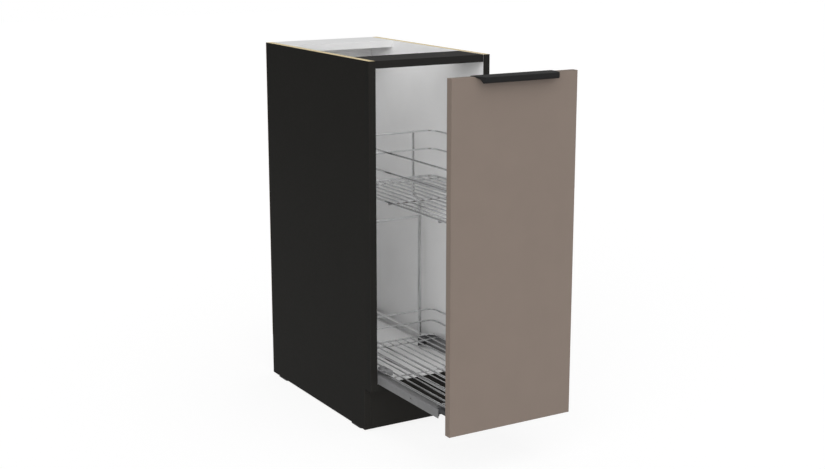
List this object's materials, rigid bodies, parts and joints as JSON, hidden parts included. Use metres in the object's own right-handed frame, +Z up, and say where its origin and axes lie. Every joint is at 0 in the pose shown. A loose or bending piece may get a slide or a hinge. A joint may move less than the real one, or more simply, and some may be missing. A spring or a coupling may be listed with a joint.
{
  "type": "pull-out base cabinet",
  "caption": "Narrow kitchen base cabinet whose full-height front slides out on roller runners with an upper and a lower wire basket; shown pulled out, no worktop.",
  "frame": {"origin": "on the floor, at the middle of the outline with the front pulled out 300 mm", "axes": "+X to the right seen from the front, +Y from the front to the wall, +Z up"},
  "size_m": [0.3, 0.8424, 0.82],
  "materials": {
    "side_board": "melamine board, near black outside, white inside",
    "black_board": "near black melamine board",
    "white_board": "white melamine board",
    "hardboard": "white faced hardboard, brown behind",
    "front_board": "matt beige grey lacquer",
    "beech": "fluted beech dowel",
    "handle_black": "matt black coating",
    "dark_steel": "dark grey paint",
    "rail_grey": "grey powder coat",
    "rail_white": "white powder coat",
    "zinc_steel": "zinc plated",
    "cast_zinc": "bare zinc casting",
    "wire_chrome": "satin chrome plated wire",
    "roller_plastic": "white nylon",
    "black_plastic": "moulded black plastic",
    "grey_plastic": "moulded grey plastic",
    "clear_bumper": "soft clear bumper"
  },
  "bodies": {
    "cabinet": {"side_left": "side_board", "side_right": "side_board", "bottom_panel": "white_board", "plinth_board": "black_board", "front_top_rail": "black_board", "rear_top_rail": "white_board", "back_panel": "hardboard", "back_nails": "zinc_steel", "floor_glides": "black_plastic", "glide_nails": "zinc_steel", "wood_dowels": "beech", "cam_housings": "cast_zinc", "cam_bolts": "zinc_steel", "fixed_rail_left": "rail_white", "fixed_rail_right": "rail_white", "fixed_rail_screws": "zinc_steel", "front_roller_pins": "zinc_steel"},
    "pullout": {"front_panel": "front_board", "handle": "handle_black", "handle_screws": "zinc_steel", "front_bumpers": "clear_bumper", "lower_bracket_left": "dark_steel", "lower_bracket_right": "dark_steel", "rear_bracket_left": "dark_steel", "rear_bracket_right": "dark_steel", "upper_bracket_left": "dark_steel", "upper_bracket_right": "dark_steel", "bracket_screws": "zinc_steel", "moving_rail_left": "rail_grey", "moving_rail_right": "rail_grey", "rear_roller_pins": "zinc_steel", "basket_clips": "grey_plastic", "front_post_left": "wire_chrome", "front_post_right": "wire_chrome", "rear_post_left": "wire_chrome", "rear_post_right": "wire_chrome", "front_rod_left": "wire_chrome", "front_rod_right": "wire_chrome", "rear_rod_left": "wire_chrome", "rear_rod_right": "wire_chrome", "front_crossbar": "wire_chrome", "rear_crossbar": "wire_chrome", "upper_basket_top_rail": "wire_chrome", "upper_basket_mid_rail": "wire_chrome", "upper_basket_floor": "wire_chrome", "lower_basket_top_rail": "wire_chrome", "lower_basket_mid_rail": "wire_chrome", "lower_basket_floor": "wire_chrome"},
    "front_wheel_left": {"front_roller_left": "roller_plastic"},
    "front_wheel_right": {"front_roller_right": "roller_plastic"},
    "rear_wheel_left": {"rear_roller_left": "roller_plastic"},
    "rear_wheel_right": {"rear_roller_right": "roller_plastic"}
  },
  "joints": [
    {"name": "front_pull", "type": "slide", "parent": "cabinet", "child": "pullout", "axis": [0, -1, 0], "range_m": [-0.297, 0.05]},
    {"name": "front_roller_left_spin", "type": "hinge", "parent": "cabinet", "child": "front_wheel_left", "pos_m": [-0.1215, -0.00675, 0.1272], "axis": [1, 0, 0], "continuous": true},
    {"name": "front_roller_right_spin", "type": "hinge", "parent": "cabinet", "child": "front_wheel_right", "pos_m": [0.1215, -0.00675, 0.1272], "axis": [1, 0, 0], "continuous": true},
    {"name": "rear_roller_left_spin", "type": "hinge", "parent": "pullout", "child": "rear_wheel_left", "pos_m": [-0.113, 0.10125, 0.1248], "axis": [1, 0, 0], "continuous": true},
    {"name": "rear_roller_right_spin", "type": "hinge", "parent": "pullout", "child": "rear_wheel_right", "pos_m": [0.113, 0.10125, 0.1248], "axis": [1, 0, 0], "continuous": true}
  ],
  "couplings": [
    {"joint": "front_roller_left_spin", "follows": "front_pull", "rad_per_m": 142.86},
    {"joint": "front_roller_right_spin", "follows": "front_pull", "rad_per_m": 142.86},
    {"joint": "rear_roller_left_spin", "follows": "front_pull", "rad_per_m": -142.86},
    {"joint": "rear_roller_right_spin", "follows": "front_pull", "rad_per_m": -142.86}
  ]
}
